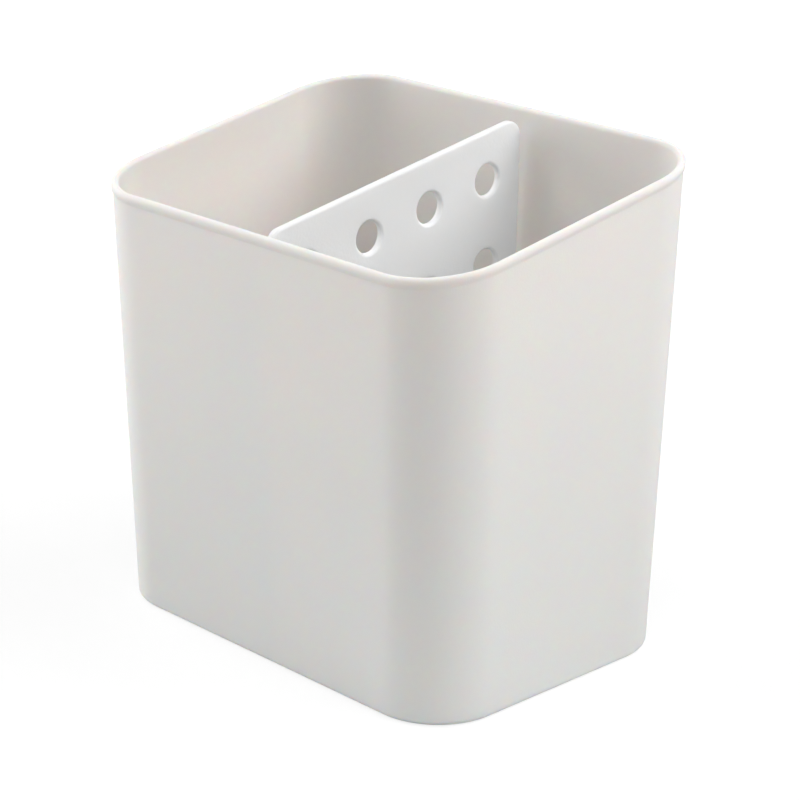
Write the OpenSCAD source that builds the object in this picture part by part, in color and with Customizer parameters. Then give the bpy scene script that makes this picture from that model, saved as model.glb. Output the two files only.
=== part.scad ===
// Chopstick and kitchen tool holder: an open moulded cup with a slanted, rolled rim,
// and a pierced frosted divider that stands between guide ribs and lifts straight out.
// +Z is up, the low front of the rim faces -Y, and the origin is the middle of the foot.

/* [Cup] */
// Width of the cup at its foot, left to right
foot_w = 135; // [110:1:170]
// Depth of the cup at its foot, front to back
foot_d = 94; // [80:1:130]
// Height of the rim above the middle of the foot
rim_h = 131; // [110:1:170]
// Slant of the rim, in degrees, falling to the front
rim_slant = 10; // [0:1:14]
// Outward lean of the walls, in degrees
draft = 1.6; // [0.4:0.1:2.4]
// Outer corner radius at the foot
corner_r = 20; // [14:1:30]
// What the corner radius gains from the foot to the rim
corner_gain = 1.3; // [0:0.1:3]
// Wall thickness
wall_t = 1.7; // [1.2:0.1:2.6]
// Floor thickness
floor_t = 2; // [1.4:0.1:3.5]
// Radius between the floor and the walls, inside
floor_fillet = 4; // [2:0.5:6]

/* [Rim] */
// How far the rolled rim stands out from the wall
bead_out = 0.4; // [0.1:0.1:1.2]
// Height of the rolled rim's upright side
bead_h = 0.9; // [0.4:0.1:3]
// Height over which the rolled rim runs back into the wall
bead_blend = 0.5; // [0.3:0.1:2]

/* [Foot] */
// Radius of the bottom edge, outside
foot_fillet = 1.6; // [0.8:0.1:3]
// Width of the standing ring under the cup
ring_w = 4; // [3:0.5:8]
// Depth of the hollow inside the standing ring
hollow_h = 0.8; // [0.4:0.1:1.5]
// Run of the slope between the standing ring and the hollow
hollow_slope = 1; // [0.5:0.1:2]

/* [Divider] */
// Thickness of the divider
divider_t = 2.3; // [1.6:0.1:4]
// Place of the divider's middle plane, right of the cup's middle
divider_x = 2.7; // [-20:0.1:20]
// How far the divider's top edge lies under the rim
divider_drop = 1; // [0.5:0.1:12]
// Lean of the divider's ends, in degrees, never more than the lean of the walls
end_lean = 0.7; // [0:0.1:1.6]
// Gap between the divider's ends and the walls, at its foot
end_gap = 0.5; // [0.3:0.1:1]
// Radius of the divider's top corners
top_corner_r = 4.5; // [3:0.5:12]
// Radius of the divider's bottom corners
foot_corner_r = 8; // [7:0.5:12]
// Running gap between the divider's faces and the guide ribs
slide_gap = 0.3; // [0.2:0.05:0.6]

/* [Holes in the divider] */
// Diameter of each hole
hole_d = 10; // [6:0.5:14]
// Distance between columns of holes
hole_pitch_y = 22.4; // [18:0.2:28]
// Distance between rows of holes
hole_pitch_z = 24.5; // [18:0.5:32]
// Distance from the top edge down to the first row of holes
hole_top = 13.9; // [10:0.1:22]
// Least distance from the floor up to the last row of holes
hole_floor = 8.5; // [7:0.5:25]
// Least width of plate between a hole and the divider's ends
hole_edge = 4; // [3:0.5:8]
// Most columns of holes, if the divider is deep enough for them
hole_columns = 4; // [2:1:4]
// Bevel round the mouth of each hole
hole_bevel = 0.4; // [0.2:0.1:0.6]

/* [Guide ribs] */
// How far each rib stands out from the wall
rib_out = 3; // [2.5:0.1:4]
// Width of a rib at its tip
rib_tip_w = 1.2; // [0.8:0.1:2]
// What each flank of a rib gains from its tip to its root
rib_flank = 0.15; // [0.1:0.05:0.4]
// Distance from the rim down to the top of the ribs
rib_drop = 60; // [45:1:90]
// Height of the sloped lead-in at the top of each rib
rib_lead = 3; // [1:0.5:8]

/* [Hidden] */

// Facets in each quarter turn of a corner, of a fillet and of the rolled rim
corner_steps = 16;
fillet_steps = 6;
rim_steps = 12;
// Smoothness of round holes and plate corners
$fn = 64;
// How far a cutter runs past the face it cuts
cut_past = 1;
// Smallest rise of a rib, where it has run into the wall
rib_none = 0;

slant = tan(rim_slant);
lean = tan(draft);
floor_z = hollow_h + floor_t;
rim_r = (wall_t + bead_out) / 2;
slot_w = divider_t + 2 * slide_gap;
end_slope = tan(min(end_lean, draft));

cup_color = "#e6e4df";
divider_color = "#e9ecef";

// Half width, half depth and corner radius of the cup's outside at height z, moved in by inset
function half_w(z, inset) = foot_w / 2 + lean * z - inset;
function half_d(z, inset) = foot_d / 2 + lean * z - inset;
function round_r(z, inset) = corner_r + corner_gain * z / rim_h - inset;

// Places across the slot where the outline of the two ribs of a wall turns
rib_turns = [
    [-slot_w / 2 - 2 * rib_flank - rib_tip_w, 0],
    [-slot_w / 2 - rib_flank - rib_tip_w, 1],
    [-slot_w / 2 - rib_flank, 1],
    [-slot_w / 2, 0],
    [slot_w / 2, 0],
    [slot_w / 2 + rib_flank, 1],
    [slot_w / 2 + rib_flank + rib_tip_w, 1],
    [slot_w / 2 + 2 * rib_flank + rib_tip_w, 0]
];

// Points of one corner of the outline: side is its sign along X and Y, from is its first angle
function corner_points(z, inset, side, from) = [
    for (i = [0 : corner_steps])
        let (a = from + 90 * i / corner_steps, r = round_r(z, inset))
            [
                side[0] * (half_w(z, inset) - r) + r * cos(a),
                side[1] * (half_d(z, inset) - r) + r * sin(a)
            ]
];

// Points of the ribs on one wall: side is the wall's sign along Y, rise how far they stand out
function rib_points(z, inset, side, rise) = [
    for (i = [0 : len(rib_turns) - 1])
        let (turn = rib_turns[side < 0 ? i : len(rib_turns) - 1 - i])
            [divider_x + turn[0], side * (half_d(z, inset) - rise * turn[1])]
];

// Level outline of the cup at height z, anticlockwise from the right wall's back end
function outline(z, inset, rise) = concat(
    corner_points(z, inset, [1, 1], 0),
    rib_points(z, inset, 1, rise),
    corner_points(z, inset, [-1, 1], 90),
    corner_points(z, inset, [-1, -1], 180),
    rib_points(z, inset, -1, rise),
    corner_points(z, inset, [1, -1], 270)
);

// Cut of the leaning walls by the plane z = height + slope * y
function section(height, slope, inset, rise) =
    let (low = outline(0, inset, rise), high = outline(1, inset, rise)) [
        for (i = [0 : len(low) - 1])
            let (
                step = high[i] - low[i],
                z = (height + slope * low[i][1]) / (1 - slope * step[1])
            )
                [low[i][0] + step[0] * z, low[i][1] + step[1] * z, z]
    ];

// Underside: the hollow, its slope and the standing ring
function foot_sections() = [
    section(hollow_h, 0, foot_fillet + ring_w + hollow_slope, rib_none),
    section(0, 0, foot_fillet + ring_w, rib_none)
];

// Rounded bottom edge, from the standing ring to the upright wall
function foot_edge_sections() = [
    for (i = [0 : fillet_steps])
        let (a = 90 * i / fillet_steps)
            section(foot_fillet * (1 - cos(a)), 0, foot_fillet * (1 - sin(a)), rib_none)
];

// Rolled rim: the blend out of the wall, then a half round from outside to inside
function rim_sections() = concat(
    [section(rim_h - rim_r - bead_h - bead_blend, slant, 0, rib_none)],
    [section(rim_h - rim_r - bead_h, slant, -bead_out, rib_none)],
    [
        for (i = [0 : rim_steps])
            let (a = 180 * i / rim_steps)
                section(rim_h - rim_r * (1 - sin(a)), slant, rim_r * (1 - cos(a)) - bead_out, rib_none)
    ]
);

// Top ends of the guide ribs, with their sloped lead-in
function rib_sections() = [
    section(rim_h - rib_drop, slant, wall_t, rib_none),
    section(rim_h - rib_drop - rib_lead, slant, wall_t, rib_out)
];

// Fillet between the inner wall and the floor, which swallows the feet of the ribs
function floor_sections() = [
    for (i = [0 : fillet_steps])
        let (a = 90 * i / fillet_steps, run = floor_fillet * (1 - cos(a)))
            section(floor_z + floor_fillet * (1 - sin(a)), 0, wall_t + run, max(rib_none, rib_out - run))
];

function sum_points(points, i = 0) = i == len(points) - 1 ? points[i] : points[i] + sum_points(points, i + 1);
function middle(points) = sum_points(points) / len(points);

// Closed skin over a list of sections with equal numbers of points, each end closed round its middle
module skin(sections) {
    n = len(sections[0]);
    last = len(sections) - 1;
    points = concat([for (s = sections) each s], [middle(sections[0]), middle(sections[last])]);
    first_middle = n * (last + 1);
    sides = [
        for (k = [0 : last - 1], i = [0 : n - 1])
            let (j = (i + 1) % n, a = k * n + i, b = k * n + j)
                each [[a, a + n, b + n], [a, b + n, b]]
    ];
    first_end = [for (i = [0 : n - 1]) [first_middle, i, (i + 1) % n]];
    last_end = [for (i = [0 : n - 1]) [first_middle + 1, last * n + (i + 1) % n, last * n + i]];
    polyhedron(points, concat(sides, first_end, last_end), convexity = 8);
}

module cup() {
    color(cup_color)
        skin(concat(
            foot_sections(),
            foot_edge_sections(),
            rim_sections(),
            rib_sections(),
            floor_sections()
        ));
}

// Half the divider's depth at height z, from a gap inside the walls at its foot
function divider_half_d(z) = half_d(floor_z, wall_t + end_gap) + end_slope * (z - floor_z);

// Height of the divider's top edge at y
function divider_top(y) = rim_h - divider_drop + slant * y;

// Where the divider's top edge meets its leaning end, side is the end's sign along Y
function divider_corner(side) =
    let (
        level_half = divider_half_d(0),
        z = (rim_h - divider_drop + side * slant * level_half) / (1 - side * slant * end_slope)
    )
        [side * divider_half_d(z), z];

// Distances and directions used to seat a round of radius r in a corner between two others
function unit(v) = v / norm(v);
function half_angle(before, corner, after) = acos(unit(before - corner) * unit(after - corner)) / 2;
function tangent_point(corner, other, reach) = corner + unit(other - corner) * reach;
function round_centre(before, corner, after, r) =
    corner + unit(unit(before - corner) + unit(after - corner)) * r / sin(half_angle(before, corner, after));

// Flat outline with a true arc of its own radius in each corner
module rounded_outline(corners, radii) {
    n = len(corners);
    polygon([
        for (i = [0 : n - 1])
            let (
                before = corners[(i + n - 1) % n],
                after = corners[(i + 1) % n],
                reach = radii[i] / tan(half_angle(before, corners[i], after))
            )
                each [tangent_point(corners[i], before, reach), tangent_point(corners[i], after, reach)]
    ]);
    for (i = [0 : n - 1])
        translate(round_centre(corners[(i + n - 1) % n], corners[i], corners[(i + 1) % n], radii[i]))
            circle(r = radii[i]);
}

module divider_outline() {
    foot_half = divider_half_d(floor_z);
    rounded_outline(
        [[-foot_half, floor_z], [foot_half, floor_z], divider_corner(1), divider_corner(-1)],
        [foot_corner_r, foot_corner_r, top_corner_r, top_corner_r]
    );
}

// Places of the holes, in rows that follow the slanted top edge
column_room = divider_half_d(floor_z) - hole_edge - hole_d / 2;
columns = min(hole_columns, 1 + floor(2 * column_room / hole_pitch_y));
column_ys = [for (i = [0 : columns - 1]) (i - (columns - 1) / 2) * hole_pitch_y];
row_room = divider_top(column_ys[0]) - hole_top - hole_floor - floor_z;
hole_rows = max(1, floor(row_room / hole_pitch_z) + 1);

// One hole through the divider, with a bevel at both of its mouths
module hole() {
    cylinder(h = divider_t + 2 * cut_past, d = hole_d, center = true);
    for (end = [-1, 1])
        translate([0, 0, end * (divider_t - hole_bevel + cut_past) / 2])
            mirror([0, 0, end < 0 ? 1 : 0])
                cylinder(
                    h = hole_bevel + cut_past,
                    r1 = hole_d / 2,
                    r2 = hole_d / 2 + hole_bevel + cut_past,
                    center = true
                );
}

module divider() {
    color(divider_color)
        translate([divider_x, 0, 0])
            rotate([90, 0, 90])
                difference() {
                    linear_extrude(divider_t, center = true)
                        divider_outline();
                    for (row = [0 : hole_rows - 1], y = column_ys)
                        translate([y, divider_top(y) - hole_top - row * hole_pitch_z, 0])
                            hole();
                }
}

cup();
divider();
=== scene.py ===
import math

import bpy
import bmesh
from mathutils import Matrix, Vector


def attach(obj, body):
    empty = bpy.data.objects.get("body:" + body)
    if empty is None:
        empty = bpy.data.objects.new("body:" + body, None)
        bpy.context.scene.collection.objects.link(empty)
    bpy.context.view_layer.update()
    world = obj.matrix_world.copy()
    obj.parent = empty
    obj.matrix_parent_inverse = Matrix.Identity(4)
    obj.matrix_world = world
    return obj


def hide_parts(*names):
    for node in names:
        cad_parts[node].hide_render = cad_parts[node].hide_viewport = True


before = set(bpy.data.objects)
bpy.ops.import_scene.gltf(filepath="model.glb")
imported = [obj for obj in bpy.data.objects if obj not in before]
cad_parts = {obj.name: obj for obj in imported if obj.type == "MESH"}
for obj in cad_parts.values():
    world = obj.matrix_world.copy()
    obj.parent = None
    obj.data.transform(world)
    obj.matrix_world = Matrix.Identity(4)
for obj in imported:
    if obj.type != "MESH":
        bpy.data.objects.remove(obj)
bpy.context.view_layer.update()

MM = 0.001

# Cup
FOOT_W = 135 * MM
FOOT_D = 94 * MM
RIM_H = 131 * MM
SLANT = math.tan(math.radians(10))
LEAN = math.tan(math.radians(1.6))
CORNER_R = 20 * MM
CORNER_GAIN = 1.3 * MM / RIM_H
WALL = 1.7 * MM
FLOOR = 2 * MM
FLOOR_FILLET = 4 * MM

# Rolled rim and foot
BEAD_OUT = 0.4 * MM
BEAD_H = 0.9 * MM
BEAD_BLEND = 0.5 * MM
RIM_R = (WALL + BEAD_OUT) / 2
FOOT_FILLET = 1.6 * MM
RING_W = 4 * MM
HOLLOW_H = 0.8 * MM
HOLLOW_SLOPE = 1 * MM
FLOOR_Z = HOLLOW_H + FLOOR

# Divider
DIVIDER_T = 2.3 * MM
DIVIDER_X = 2.7 * MM
DIVIDER_DROP = 1 * MM
END_SLOPE = math.tan(math.radians(0.7))
END_GAP = 0.5 * MM
TOP_CORNER_R = 4.5 * MM
FOOT_CORNER_R = 8 * MM
SLIDE_GAP = 0.3 * MM
PLATE_EDGE_R = 0.6 * MM

# Holes in the divider
HOLE_R = 4.55 * MM
HOLE_ROUND = 0.9 * MM
HOLE_PITCH_Y = 22.4 * MM
HOLE_PITCH_Z = 24.5 * MM
HOLE_TOP = 13.9 * MM
HOLE_COLUMNS = 4
HOLE_ROWS = 5

# Guide ribs
RIB_OUT = 3 * MM
RIB_TIP_W = 1.2 * MM
RIB_FLANK = 0.15 * MM
RIB_DROP = 60 * MM
RIB_LEAD = 3 * MM
RIB_ROUND = 0.3 * MM
SLOT_HALF = DIVIDER_T / 2 + SLIDE_GAP

# Smoothness of the visible pieces. HOLD is how far a flat face runs beside a bend before its next point,
# and faces whose normal lies within FLAT_FACING of an axis stay flat.
CORNER_STEPS = 26
FILLET_STEPS = 8
RIM_STEPS = 12
PLATE_CORNER_STEPS = 16
HOLE_STEPS = 56
EDGE_STEPS = 6
RIB_TIP_STEPS = 3
HOLD = 0.6 * MM
WELD = 0.002 * MM
FLAT_FACING = 0.9999

# Camera, from the outline and the rim of the cup in the photograph
VIEW_AZIMUTH = 46.16
VIEW_ELEVATION = 19.47
VIEW_ROLL = 0.475
VIEW_DISTANCE = 740.3 * MM
VIEW_LENS_MM = 119.95
AIM_HEIGHT = 65.5 * MM
AIM_RIGHT = 3.06 * MM
AIM_UP = -1.12 * MM

# Lamps, all alike but for their place and strength
LAMP_DISTANCE = 1.2
LAMP_SIZE = 0.8

# Room. FILL is the light that the white surroundings give the cup. The floor throws light back by
# FLOOR_BOUNCE and is seen by the camera with the darker shade FLOOR_SEEN. For the camera it also glows with
# a painted light that grows from LIFT_NEAR to LIFT_FAR between LIFT_FROM and LIFT_TO metres from the cup, so
# that the real shadow stays at the foot: painted shade on the floor round the foot, and a painted brightening
# of the far floor, which the lamps light less, to white.
FILL = 0.02
FLOOR_SIZE = 6.0
FLOOR_BOUNCE = 0.75
FLOOR_SEEN = 0.3
FLOOR_ROUGHNESS = 0.9
LIFT_NEAR = 0.72
LIFT_FAR = 0.96
LIFT_FROM = 0.15
LIFT_TO = 1.1
WHITE = (1.0, 1.0, 1.0, 1.0)

# Names of the values that points carry through the geometry trees
CARRIED = (
    "foot_point", "outward", "drift", "rib", "inset", "height", "slanted", "rise",
    "round", "reach", "depth",
)


def feed(socket, value):
    """Links an output to the socket, or sets the socket's own value."""
    if isinstance(value, bpy.types.NodeSocket):
        socket.id_data.links.new(value, socket)
    else:
        socket.default_value = value


def add_node(tree, kind, inputs=(), **settings):
    """Adds a node with its settings, and feeds its inputs by name or number."""
    node = tree.nodes.new(kind)
    for name, value in settings.items():
        setattr(node, name, value)
    for key, value in dict(inputs).items():
        feed(node.inputs[key], value)
    return node


def sums(tree, operation, *values):
    """One step of arithmetic on numbers."""
    return add_node(tree, "ShaderNodeMath", enumerate(values), operation=operation).outputs[0]


def vectors(tree, operation, *values):
    """One step of arithmetic on vectors."""
    return add_node(tree, "ShaderNodeVectorMath", enumerate(values), operation=operation).outputs[0]


def scaled(tree, vector, factor):
    """A vector times a number."""
    inputs = {0: vector, "Scale": factor}
    return add_node(tree, "ShaderNodeVectorMath", inputs, operation="SCALE").outputs[0]


def parts_of(tree, vector):
    """The X, Y and Z of a vector."""
    return add_node(tree, "ShaderNodeSeparateXYZ", {0: vector}).outputs


def vector_of(tree, x=0.0, y=0.0, z=0.0):
    """A vector from its X, Y and Z."""
    return add_node(tree, "ShaderNodeCombineXYZ", {0: x, 1: y, 2: z}).outputs[0]


def new_tree(name, kind, inputs, outputs):
    """A node tree with named sockets. Returns the tree, its inputs by name and its output node."""
    tree = bpy.data.node_groups.new(name, kind)
    for in_out, rows in (("INPUT", inputs), ("OUTPUT", outputs)):
        for label, form, *default in rows:
            socket = tree.interface.new_socket(label, in_out=in_out, socket_type="NodeSocket" + form)
            if default:
                socket.default_value = default[0]
    source = tree.nodes.new("NodeGroupInput")
    return tree, source.outputs, tree.nodes.new("NodeGroupOutput")


def stored(tree, name, form="FLOAT"):
    """Reads a value that the points carry by name."""
    value = add_node(tree, "GeometryNodeInputNamedAttribute", {"Name": name}, data_type=form)
    return value.outputs["Attribute"]


def store(tree, geometry, name, value, form="FLOAT"):
    """Gives every point a value by name."""
    return add_node(
        tree, "GeometryNodeStoreNamedAttribute",
        {"Geometry": geometry, "Name": name, "Value": value}, data_type=form, domain="POINT",
    ).outputs[0]


def arc(centre, radius, first, last, steps):
    """Points of an arc from one angle to another, in degrees, both ends included."""
    angles = [math.radians(first + (last - first) * i / steps) for i in range(steps + 1)]
    return [(centre[0] + radius * math.cos(a), centre[1] + radius * math.sin(a)) for a in angles]


def line_object(name, places, closed, **carried):
    """A line of edges through the places, whose points carry named numbers or vectors."""
    mesh = bpy.data.meshes.new(name)
    count = len(places)
    edges = [(i, (i + 1) % count) for i in range(count if closed else count - 1)]
    mesh.from_pydata([Vector(p).to_3d() for p in places], edges, [])
    for label, values in carried.items():
        vector = isinstance(values[0], (tuple, Vector))
        attribute = mesh.attributes.new(label, "FLOAT_VECTOR" if vector else "FLOAT", "POINT")
        for item, value in zip(attribute.data, values):
            setattr(item, "vector" if vector else "value", value)
    made = bpy.data.objects.new(name, mesh)
    bpy.context.scene.collection.objects.link(made)
    return made


def shaped(name, source, tree, values):
    """Runs a geometry tree on an object and returns the result as a plain piece with outward faces."""
    modifier = source.modifiers.new(tree.name, "NODES")
    modifier.node_group = tree
    for item in tree.interface.items_tree:
        if item.in_out == "INPUT" and item.name in values:
            modifier[item.identifier] = values[item.name]
    source.update_tag()
    graph = bpy.context.evaluated_depsgraph_get()
    mesh = bpy.data.meshes.new_from_object(source.evaluated_get(graph))
    bpy.data.objects.remove(source)
    for attribute in [a.name for a in mesh.attributes if a.name in CARRIED]:
        mesh.attributes.remove(mesh.attributes[attribute])
    form = bmesh.new()
    form.from_mesh(mesh)
    bmesh.ops.recalc_face_normals(form, faces=form.faces)
    form.to_mesh(mesh)
    form.free()
    mesh.name = name
    piece = bpy.data.objects.new(name, mesh)
    bpy.context.scene.collection.objects.link(piece)
    return piece


def rib_section():
    """Half the outline of the slot in one wall: places across it, and how far out of the wall each stands."""
    root = SLOT_HALF + 2 * RIB_FLANK + RIB_TIP_W
    tip_in = SLOT_HALF + RIB_FLANK
    tip_out = tip_in + RIB_TIP_W
    low = RIB_OUT - RIB_ROUND
    inner = arc((tip_in + RIB_ROUND, low), RIB_ROUND, 180, 90, RIB_TIP_STEPS)
    outer = arc((tip_out - RIB_ROUND, low), RIB_ROUND, 90, 0, RIB_TIP_STEPS)
    return [(0, 0), (SLOT_HALF, 0), *inner, *outer, (root, 0), (root + HOLD, 0)]


def cup_outline():
    """The foot's outline, anticlockwise, with what each point carries: its way out of the wall, how the
    lean moves it, and its share of the guide ribs."""
    core = (FOOT_W / 2 - CORNER_R, FOOT_D / 2 - CORNER_R)
    half = rib_section()
    across = [(-x, out) for x, out in reversed(half[1:])] + half
    places, outward, drift, rib = [], [], [], []

    def put(place, out, lean, share=0.0):
        places.append(place)
        outward.append(Vector(out).to_3d())
        drift.append(Vector(lean).to_3d())
        rib.append(share)

    def corner(side, first):
        for x, y in arc((0, 0), 1, first, first + 90, CORNER_STEPS):
            centre = (side[0] * core[0], side[1] * core[1])
            put((centre[0] + CORNER_R * x, centre[1] + CORNER_R * y), (x, y), side)

    def side_wall(side):
        for y in (-side * (core[1] - HOLD), side * (core[1] - HOLD)):
            put((side * FOOT_W / 2, y), (side, 0), (side, 0))

    def ribbed_wall(side):
        put((side * (core[0] - HOLD), side * FOOT_D / 2), (0, side), (0, side))
        for x, out in across if side < 0 else reversed(across):
            put((DIVIDER_X + x, side * FOOT_D / 2), (0, side), (0, side), out / RIB_OUT)
        put((-side * (core[0] - HOLD), side * FOOT_D / 2), (0, side), (0, side))

    corner((1, 1), 0)
    ribbed_wall(1)
    corner((-1, 1), 90)
    side_wall(-1)
    corner((-1, -1), 180)
    ribbed_wall(-1)
    corner((1, -1), 270)
    side_wall(1)
    return line_object(
        "cup_outline", places, True, foot_point=[Vector(p).to_3d() for p in places],
        outward=outward, drift=drift, rib=rib,
    )


def cup_profile():
    """The wall's section from the hollow under the cup, over the rolled rim and down to the floor. Each
    point carries its inset from the outside, its height, its share of the rim's slant and its ribs."""
    rows = []

    def put(inset, height, slanted=0.0, rise=0.0):
        rows.append((inset, height, slanted, rise))

    ring_in = FOOT_FILLET + RING_W
    put(ring_in + HOLLOW_SLOPE + HOLD, HOLLOW_H)
    put(ring_in + HOLLOW_SLOPE, HOLLOW_H)
    put(ring_in, 0)
    put(FOOT_FILLET + HOLD, 0)
    for inset, height in arc((FOOT_FILLET, FOOT_FILLET), FOOT_FILLET, 270, 180, FILLET_STEPS):
        put(inset, height)
    put(0, FOOT_FILLET + HOLD)
    bead_top = RIM_H - RIM_R
    put(0, bead_top - BEAD_H - BEAD_BLEND - HOLD, 1)
    put(0, bead_top - BEAD_H - BEAD_BLEND, 1)
    put(-BEAD_OUT, bead_top - BEAD_H, 1)
    for inset, height in arc((RIM_R - BEAD_OUT, bead_top), RIM_R, 180, 0, RIM_STEPS):
        put(inset, height, 1)
    put(WALL, bead_top - HOLD, 1)
    rib_top = RIM_H - RIB_DROP
    put(WALL, rib_top + HOLD, 1)
    put(WALL, rib_top, 1)
    put(WALL, rib_top - RIB_LEAD, 1, RIB_OUT)
    put(WALL, rib_top - RIB_LEAD - HOLD, 1, RIB_OUT)
    floor_bend = (WALL + FLOOR_FILLET, FLOOR_Z + FLOOR_FILLET)
    put(WALL, floor_bend[1] + HOLD, 0, RIB_OUT)
    for inset, height in arc(floor_bend, FLOOR_FILLET, 180, 270, FILLET_STEPS):
        put(inset, height, 0, max(0, RIB_OUT - (inset - WALL)))
    put(WALL + FLOOR_FILLET + HOLD, FLOOR_Z)
    inset, height, slanted, rise = zip(*rows)
    return line_object(
        "cup_profile", list(zip(inset, height)), False,
        inset=inset, height=height, slanted=slanted, rise=rise,
    )


def leaning_place():
    """The rule of the cup: where a point of the foot's outline comes to lie at a height of the leaning
    walls, where a slanted section is the cut by a plane that rises to the back."""
    tree, given, result = new_tree(
        "leaning_place", "GeometryNodeTree",
        [
            ("Foot Point", "Vector"), ("Outward", "Vector"), ("Drift", "Vector"), ("Inset", "Float"),
            ("Height", "Float"), ("Slant", "Float"), ("Lean", "Float"), ("Corner Gain", "Float"),
        ],
        [("Position", "Vector")],
    )
    start = vectors(tree, "SUBTRACT", given["Foot Point"], scaled(tree, given["Outward"], given["Inset"]))
    core_rate = sums(tree, "SUBTRACT", given["Lean"], given["Corner Gain"])
    corner_rate = scaled(tree, given["Outward"], given["Corner Gain"])
    rate = vectors(tree, "ADD", scaled(tree, given["Drift"], core_rate), corner_rate)
    raised = sums(tree, "MULTIPLY_ADD", given["Slant"], parts_of(tree, start)["Y"], given["Height"])
    spread = sums(tree, "MULTIPLY", given["Slant"], parts_of(tree, rate)["Y"])
    z = sums(tree, "DIVIDE", raised, sums(tree, "SUBTRACT", 1.0, spread))
    moved = vectors(tree, "ADD", start, scaled(tree, rate, z))
    feed(result.inputs["Position"], vectors(tree, "ADD", moved, vector_of(tree, z=z)))
    return tree


def closed_ends(tree, geometry):
    """Closes each open end of a swept skin round its middle, and welds it."""
    faces = add_node(tree, "GeometryNodeInputMeshEdgeNeighbors").outputs["Face Count"]
    open_edge = add_node(tree, "FunctionNodeCompare", {2: faces, 3: 1}, data_type="INT", operation="EQUAL")
    ends = add_node(
        tree, "GeometryNodeExtrudeMesh",
        {"Mesh": geometry, "Selection": open_edge.outputs[0], "Offset Scale": 0.0}, mode="EDGES",
    )
    height = parts_of(tree, add_node(tree, "GeometryNodeInputPosition").outputs[0])["Z"]
    middle = vector_of(tree, z=height)
    drawn_in = add_node(
        tree, "GeometryNodeSetPosition",
        {"Geometry": ends.outputs["Mesh"], "Selection": ends.outputs["Top"], "Position": middle},
    )
    return add_node(
        tree, "GeometryNodeMergeByDistance", {"Geometry": drawn_in.outputs[0], "Distance": WELD}
    ).outputs[0]


def finished(tree, geometry, flat_axis, material):
    """Shades all but the flat faces across an axis smooth, and ends the tree."""
    facing = parts_of(tree, add_node(tree, "GeometryNodeInputNormal").outputs[0])[flat_axis]
    round_face = sums(tree, "LESS_THAN", sums(tree, "ABSOLUTE", facing), FLAT_FACING)
    shaded = add_node(
        tree, "GeometryNodeSetShadeSmooth", {"Geometry": geometry, "Shade Smooth": round_face}, domain="FACE"
    )
    real = add_node(tree, "GeometryNodeRealizeInstances", {"Geometry": shaded.outputs[0]})
    return add_node(
        tree, "GeometryNodeSetMaterial", {"Geometry": real.outputs[0], "Material": material}
    ).outputs[0]


def cup_tree(profile, material):
    """Sweeps the wall's section round the foot's outline, and lays each point by the cup's rule."""
    tree, given, result = new_tree(
        "moulded_cup", "GeometryNodeTree",
        [("Outline", "Geometry"), ("Slant", "Float"), ("Lean", "Float"), ("Corner Gain", "Float")],
        [("Cup", "Geometry")],
    )
    rail = add_node(tree, "GeometryNodeMeshToCurve", {"Mesh": given["Outline"]}).outputs[0]
    section = add_node(tree, "GeometryNodeObjectInfo", {"Object": profile}).outputs["Geometry"]
    section = add_node(tree, "GeometryNodeMeshToCurve", {"Mesh": section}).outputs[0]
    skin = add_node(tree, "GeometryNodeCurveToMesh", {"Curve": rail, "Profile Curve": section}).outputs[0]
    inset = sums(tree, "MULTIPLY_ADD", stored(tree, "rib"), stored(tree, "rise"), stored(tree, "inset"))
    place = add_node(
        tree, "GeometryNodeGroup",
        {
            "Foot Point": stored(tree, "foot_point", "FLOAT_VECTOR"),
            "Outward": stored(tree, "outward", "FLOAT_VECTOR"),
            "Drift": stored(tree, "drift", "FLOAT_VECTOR"),
            "Inset": inset,
            "Height": stored(tree, "height"),
            "Slant": sums(tree, "MULTIPLY", stored(tree, "slanted"), given["Slant"]),
            "Lean": given["Lean"],
            "Corner Gain": given["Corner Gain"],
        },
        node_tree=leaning_place(),
    ).outputs[0]
    laid = add_node(tree, "GeometryNodeSetPosition", {"Geometry": skin, "Position": place}).outputs[0]
    feed(result.inputs["Cup"], finished(tree, closed_ends(tree, laid), "Z", material))
    return tree


def make_cup(material):
    """The moulded cup with its rolled rim, guide ribs, floor and standing ring."""
    profile = cup_profile()
    tree = cup_tree(profile, material)
    sizes = {"Slant": SLANT, "Lean": LEAN, "Corner Gain": CORNER_GAIN}
    cup = shaped("cup_shell", cup_outline(), tree, sizes)
    bpy.data.objects.remove(profile)
    return cup


def edge_profile(name, reach, steps):
    """The rounded edge of the plate from face to face: each point carries how far it lies beyond the
    edge of the flat face, and its depth through the plate."""
    half = DIVIDER_T / 2
    upper = arc((0, half - reach), reach, 90, 0, steps)
    places = upper + [(x, -y) for x, y in reversed(upper)]
    beyond, through = zip(*places)
    return line_object(name, places, False, reach=beyond, depth=through)


def swept_edge(tree, rail, profile, outward):
    """Sweeps a rounded edge along a rail, which lies at the edge of the flat face."""
    position = add_node(tree, "GeometryNodeInputPosition").outputs[0]
    rail = store(tree, rail, "outward", outward, "FLOAT_VECTOR")
    rail = store(tree, rail, "foot_point", position, "FLOAT_VECTOR")
    section = add_node(tree, "GeometryNodeObjectInfo", {"Object": profile}).outputs["Geometry"]
    section = add_node(tree, "GeometryNodeMeshToCurve", {"Mesh": section}).outputs[0]
    skin = add_node(tree, "GeometryNodeCurveToMesh", {"Curve": rail, "Profile Curve": section}).outputs[0]
    beyond = scaled(tree, stored(tree, "outward", "FLOAT_VECTOR"), stored(tree, "reach"))
    place = vectors(tree, "ADD", stored(tree, "foot_point", "FLOAT_VECTOR"), beyond)
    place = vectors(tree, "ADD", place, vector_of(tree, z=stored(tree, "depth")))
    return add_node(tree, "GeometryNodeSetPosition", {"Geometry": skin, "Position": place}).outputs[0]


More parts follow.
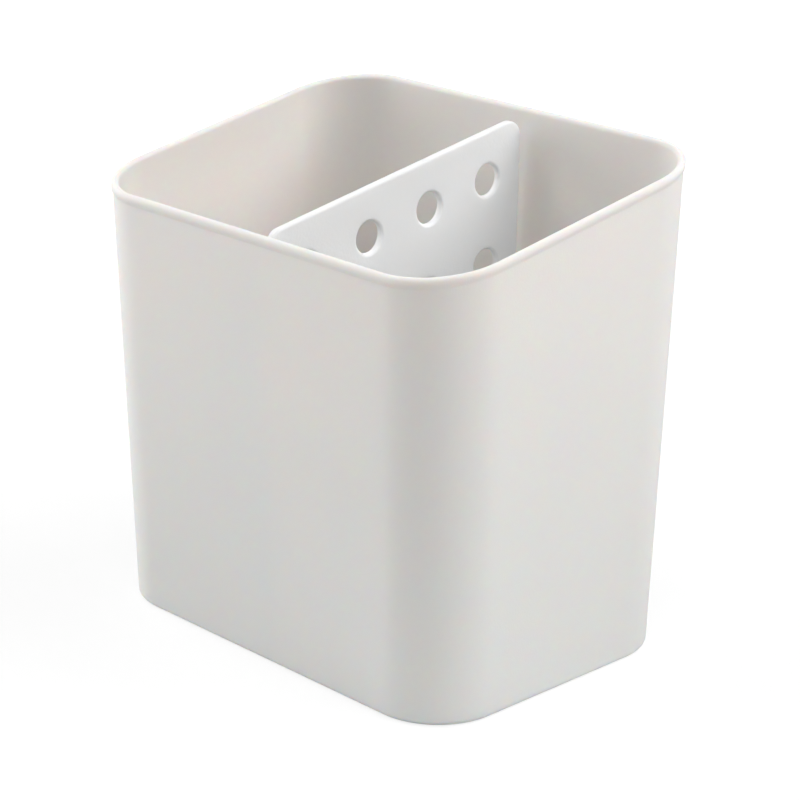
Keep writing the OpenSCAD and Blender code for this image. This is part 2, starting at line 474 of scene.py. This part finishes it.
def in_plane_normal(tree):
    """The way out of an anticlockwise flat curve."""
    tangent = add_node(tree, "GeometryNodeInputTangent").outputs[0]
    return vectors(tree, "CROSS_PRODUCT", tangent, (0.0, 0.0, 1.0))


def divider_tree(edge, hole_edge, material):
    """Fills the plate's outline round its pattern of holes, sweeps the rounded edges and stands it up."""
    tree, given, result = new_tree(
        "pierced_plate", "GeometryNodeTree",
        [
            ("Corners", "Geometry"), ("Thickness", "Float"), ("Edge Radius", "Float"), ("Middle", "Vector"),
            ("Hole Radius", "Float"), ("Hole Round", "Float"), ("Columns", "Int"), ("Rows", "Int"),
            ("Column Pitch", "Float"), ("Row Pitch", "Float"), ("Lowest Row", "Float"), ("Slant", "Float"),
            ("Place", "Float"),
        ],
        [("Divider", "Geometry")],
    )
    position = add_node(tree, "GeometryNodeInputPosition").outputs[0]
    corners = add_node(tree, "GeometryNodeMeshToCurve", {"Mesh": given["Corners"]}).outputs[0]
    outline = add_node(
        tree, "GeometryNodeFilletCurve",
        {"Curve": corners, "Radius": stored(tree, "round"), "Count": PLATE_CORNER_STEPS}, mode="POLY",
    ).outputs[0]
    side = in_plane_normal(tree)
    from_middle = vectors(tree, "SUBTRACT", position, given["Middle"])
    facing = add_node(tree, "ShaderNodeVectorMath", {0: side, 1: from_middle}, operation="DOT_PRODUCT")
    outward = scaled(tree, side, sums(tree, "SIGN", facing.outputs["Value"]))
    outline = store(tree, outline, "outward", outward, "FLOAT_VECTOR")
    inward = sums(tree, "MULTIPLY", given["Edge Radius"], -1.0)
    pulled_in = scaled(tree, stored(tree, "outward", "FLOAT_VECTOR"), inward)
    flat_edge = add_node(
        tree, "GeometryNodeSetPosition", {"Geometry": outline, "Offset": pulled_in}
    ).outputs[0]

    columns = sums(tree, "SUBTRACT", given["Columns"], 1.0)
    rows = sums(tree, "SUBTRACT", given["Rows"], 1.0)
    height = sums(tree, "MULTIPLY", rows, given["Row Pitch"])
    grid = add_node(
        tree, "GeometryNodeMeshGrid",
        {
            "Size X": sums(tree, "MULTIPLY", columns, given["Column Pitch"]), "Size Y": height,
            "Vertices X": given["Columns"], "Vertices Y": given["Rows"],
        },
    ).outputs["Mesh"]
    lift = sums(tree, "MULTIPLY_ADD", height, 0.5, given["Lowest Row"])
    lift = sums(tree, "MULTIPLY_ADD", parts_of(tree, position)["X"], given["Slant"], lift)
    centres = add_node(
        tree, "GeometryNodeSetPosition", {"Geometry": grid, "Offset": vector_of(tree, y=lift)}
    ).outputs[0]
    mouth = add_node(
        tree, "GeometryNodeCurvePrimitiveCircle",
        {"Resolution": HOLE_STEPS, "Radius": sums(tree, "ADD", given["Hole Radius"], given["Hole Round"])},
    ).outputs[0]
    mouths = add_node(tree, "GeometryNodeInstanceOnPoints", {"Points": centres, "Instance": mouth}).outputs[0]
    mouths = add_node(tree, "GeometryNodeRealizeInstances", {"Geometry": mouths}).outputs[0]

    join = add_node(tree, "GeometryNodeJoinGeometry")
    for curves in (flat_edge, mouths):
        feed(join.inputs[0], curves)
    face = add_node(tree, "GeometryNodeFillCurve", {"Curve": join.outputs[0]}, mode="NGONS").outputs[0]
    half = sums(tree, "MULTIPLY", given["Thickness"], 0.5)
    plate = add_node(tree, "GeometryNodeJoinGeometry")
    for offset in (half, sums(tree, "MULTIPLY", half, -1.0)):
        feed(plate.inputs[0], add_node(
            tree, "GeometryNodeSetPosition", {"Geometry": face, "Offset": vector_of(tree, z=offset)}
        ).outputs[0])
    feed(plate.inputs[0], swept_edge(tree, flat_edge, edge, stored(tree, "outward", "FLOAT_VECTOR")))
    feed(plate.inputs[0], swept_edge(tree, mouths, hole_edge, scaled(tree, in_plane_normal(tree), -1.0)))
    welded = add_node(
        tree, "GeometryNodeMergeByDistance", {"Geometry": plate.outputs[0], "Distance": WELD}
    ).outputs[0]
    across, up, through = parts_of(tree, position)
    upright = vector_of(tree, sums(tree, "ADD", through, given["Place"]), across, up)
    stood = add_node(tree, "GeometryNodeSetPosition", {"Geometry": welded, "Position": upright}).outputs[0]
    feed(result.inputs["Divider"], finished(tree, stood, "X", material))
    return tree


def divider_half(z):
    """Half the divider's depth at a height, from a gap inside the walls at its foot."""
    return FOOT_D / 2 + LEAN * FLOOR_Z - WALL - END_GAP + END_SLOPE * (z - FLOOR_Z)


def divider_corner(side):
    """Where the divider's slanted top edge meets its leaning end."""
    z = (RIM_H - DIVIDER_DROP + side * SLANT * divider_half(0)) / (1 - side * SLANT * END_SLOPE)
    return (side * divider_half(z), z)


def make_divider(material):
    """The frosted divider with its slanted rows of round holes."""
    foot = divider_half(FLOOR_Z)
    corners = [(-foot, FLOOR_Z), (foot, FLOOR_Z), divider_corner(1), divider_corner(-1)]
    outline = line_object(
        "divider_outline", corners, True, round=[FOOT_CORNER_R, FOOT_CORNER_R, TOP_CORNER_R, TOP_CORNER_R]
    )
    edge = edge_profile("plate_edge", PLATE_EDGE_R, EDGE_STEPS)
    hole_edge = edge_profile("hole_edge", HOLE_ROUND, EDGE_STEPS)
    tree = divider_tree(edge, hole_edge, material)
    top_row = RIM_H - DIVIDER_DROP - HOLE_TOP
    sizes = {
        "Thickness": DIVIDER_T, "Edge Radius": PLATE_EDGE_R, "Middle": (0.0, RIM_H / 2, 0.0),
        "Hole Radius": HOLE_R, "Hole Round": HOLE_ROUND, "Columns": HOLE_COLUMNS, "Rows": HOLE_ROWS,
        "Column Pitch": HOLE_PITCH_Y, "Row Pitch": HOLE_PITCH_Z,
        "Lowest Row": top_row - (HOLE_ROWS - 1) * HOLE_PITCH_Z, "Slant": SLANT, "Place": DIVIDER_X,
    }
    divider = shaped("divider_plate", outline, tree, sizes)
    for profile in (edge, hole_edge):
        bpy.data.objects.remove(profile)
    return divider


def moulded_grain():
    """The fine matte grain of a moulded surface, with slow changes of tone and gloss, for any plastic."""
    tree, given, result = new_tree(
        "moulded_grain", "ShaderNodeTree",
        [
            ("Grain Size", "Float", 0.0004), ("Mottle Size", "Float", 0.03), ("Tone Spread", "Float", 0.02),
            ("Roughness", "Float", 0.5), ("Roughness Spread", "Float", 0.05),
        ],
        [("Tone", "Float"), ("Roughness", "Float"), ("Height", "Float")],
    )
    place = add_node(tree, "ShaderNodeTexCoord").outputs["Object"]

    def noise(size, detail):
        return add_node(
            tree, "ShaderNodeTexNoise",
            {"Vector": place, "Scale": sums(tree, "DIVIDE", 1.0, size), "Detail": detail},
        ).outputs[0]

    grain = noise(given["Grain Size"], 2.0)
    mottle = sums(tree, "SUBTRACT", noise(given["Mottle Size"], 3.0), 0.5)
    feed(result.inputs["Tone"], sums(tree, "MULTIPLY_ADD", mottle, given["Tone Spread"], 1.0))
    feed(
        result.inputs["Roughness"],
        sums(tree, "MULTIPLY_ADD", mottle, given["Roughness Spread"], given["Roughness"]),
    )
    feed(result.inputs["Height"], grain)
    return tree


def plastic(name, group, colour, grain, bump, **surface):
    """A moulded plastic: its colour toned and its surface roughened by the grain group."""
    material = bpy.data.materials.new(name)
    material.use_nodes = True
    tree = material.node_tree
    shader = tree.nodes["Principled BSDF"]
    finish = add_node(tree, "ShaderNodeGroup", grain, node_tree=group)
    feed(shader.inputs["Base Color"], scaled(tree, colour, finish.outputs["Tone"]))
    feed(shader.inputs["Roughness"], finish.outputs["Roughness"])
    relief = add_node(tree, "ShaderNodeBump", {"Height": finish.outputs["Height"], **bump})
    feed(shader.inputs["Normal"], relief.outputs[0])
    for label, value in surface.items():
        feed(shader.inputs[label.replace("_", " ").title().replace("Ior", "IOR")], value)
    return material


def direction(azimuth, elevation):
    """The way from the cup to a place round it, in degrees from the front and up from level."""
    a, e = math.radians(azimuth), math.radians(elevation)
    return Vector((math.sin(a) * math.cos(e), -math.cos(a) * math.cos(e), math.sin(e)))


def make_camera():
    """The camera at the photograph's place, turn and framing."""
    back = direction(VIEW_AZIMUTH, VIEW_ELEVATION)
    level_right = Vector((0, 0, 1)).cross(back).normalized()
    roll = Matrix.Rotation(math.radians(VIEW_ROLL), 3, back)
    right = roll @ level_right
    up = back.cross(right)
    data = bpy.data.cameras.new("camera")
    data.lens = VIEW_LENS_MM
    camera = bpy.data.objects.new("camera", data)
    place = Vector((0, 0, AIM_HEIGHT)) + back * VIEW_DISTANCE + right * AIM_RIGHT + up * AIM_UP
    camera.matrix_world = Matrix.Translation(place) @ Matrix((right, up, back)).transposed().to_4x4()
    bpy.context.scene.collection.objects.link(camera)
    bpy.context.scene.camera = camera


def softbox(name, azimuth, elevation, strength):
    """A soft square lamp that faces the middle of the cup."""
    back = direction(azimuth, elevation)
    data = bpy.data.lights.new(name, "AREA")
    data.shape = "RECTANGLE"
    data.size = LAMP_SIZE
    data.size_y = LAMP_SIZE
    data.energy = strength
    lamp = bpy.data.objects.new(name, data)
    lamp.location = Vector((0, 0, AIM_HEIGHT)) + back * LAMP_DISTANCE
    lamp.rotation_mode = "QUATERNION"
    lamp.rotation_quaternion = back.to_track_quat("Z", "Y")
    bpy.context.scene.collection.objects.link(lamp)


def make_room():
    """The pale floor and the white surroundings."""
    world = bpy.data.worlds.new("white_room")
    world.use_nodes = True
    tree = world.node_tree
    paths = add_node(tree, "ShaderNodeLightPath").outputs
    seen = sums(tree, "MAXIMUM", paths["Is Camera Ray"], paths["Is Glossy Ray"])
    seen = sums(tree, "MAXIMUM", seen, paths["Is Transmission Ray"])
    fill = sums(tree, "MULTIPLY_ADD", seen, 1 - FILL, FILL)
    feed(tree.nodes["Background"].inputs["Strength"], fill)
    feed(tree.nodes["Background"].inputs["Color"], WHITE)
    bpy.context.scene.world = world

    mesh = bpy.data.meshes.new("floor")
    half = FLOOR_SIZE / 2
    corners = [(-half, -half, 0), (half, -half, 0), (half, half, 0), (-half, half, 0)]
    mesh.from_pydata(corners, [], [(0, 1, 2, 3)])
    floor = bpy.data.objects.new("floor", mesh)
    bpy.context.scene.collection.objects.link(floor)
    material = bpy.data.materials.new("pale_floor")
    material.use_nodes = True
    tree = material.node_tree
    shader = tree.nodes["Principled BSDF"]
    feed(shader.inputs["Roughness"], FLOOR_ROUGHNESS)
    feed(shader.inputs["Specular IOR Level"], 0.0)
    seen = add_node(tree, "ShaderNodeLightPath").outputs["Is Camera Ray"]
    shade = sums(tree, "MULTIPLY_ADD", seen, FLOOR_SEEN - FLOOR_BOUNCE, FLOOR_BOUNCE)
    feed(shader.inputs["Base Color"], shade)
    # Painted light: the floor's glow for the camera grows with the distance from the cup, a painted shade
    # near the foot and a painted brightening of the far floor to white.
    place = add_node(tree, "ShaderNodeTexCoord").outputs["Object"]
    away = add_node(tree, "ShaderNodeVectorMath", {0: place}, operation="LENGTH").outputs["Value"]
    lift = add_node(
        tree, "ShaderNodeMapRange",
        {"Value": away, "From Min": LIFT_FROM, "From Max": LIFT_TO, "To Min": LIFT_NEAR, "To Max": LIFT_FAR},
        interpolation_type="SMOOTHSTEP",
    ).outputs["Result"]
    feed(shader.inputs["Emission Color"], WHITE)
    feed(shader.inputs["Emission Strength"], sums(tree, "MULTIPLY", seen, lift))
    mesh.materials.append(material)


make_camera()
make_room()
softbox("left_softbox", -85, 20, 4.3)
softbox("left_low_softbox", -60, 6, 5.8)
softbox("left_high_softbox", -50, 50, 5.5)
softbox("right_softbox", 107, 38, 5)
softbox("right_back_softbox", 142, 50, 7.4)
softbox("front_softbox", 46, 44, 4.2)

grain = moulded_grain()
cup_plastic = plastic(
    "off_white_plastic", grain, (0.765, 0.768, 0.758),
    {
        "Grain Size": 0.0005, "Mottle Size": 0.04, "Tone Spread": 0.02,
        "Roughness": 0.55, "Roughness Spread": 0.06,
    },
    {"Strength": 0.15, "Distance": 0.0002}, specular_ior_level=0.15, subsurface_weight=1.0,
    subsurface_radius=(1.0, 0.64, 0.42), subsurface_scale=0.0024,
)
frosted_plastic = plastic(
    "frosted_plastic", grain, (0.795, 0.798, 0.802),
    {
        "Grain Size": 0.0007, "Mottle Size": 0.02, "Tone Spread": 0.03,
        "Roughness": 0.5, "Roughness Spread": 0.08,
    },
    {"Strength": 0.2, "Distance": 0.0002}, specular_ior_level=0.25, subsurface_weight=1.0,
    subsurface_radius=(1.0, 0.95, 0.9), subsurface_scale=0.003,
)

cup = make_cup(cup_plastic)
divider = make_divider(frosted_plastic)
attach(cup, "cup")
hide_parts("cup")
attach(divider, "divider")
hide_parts("divider")

bpy.context.scene.view_settings.view_transform = "Standard"
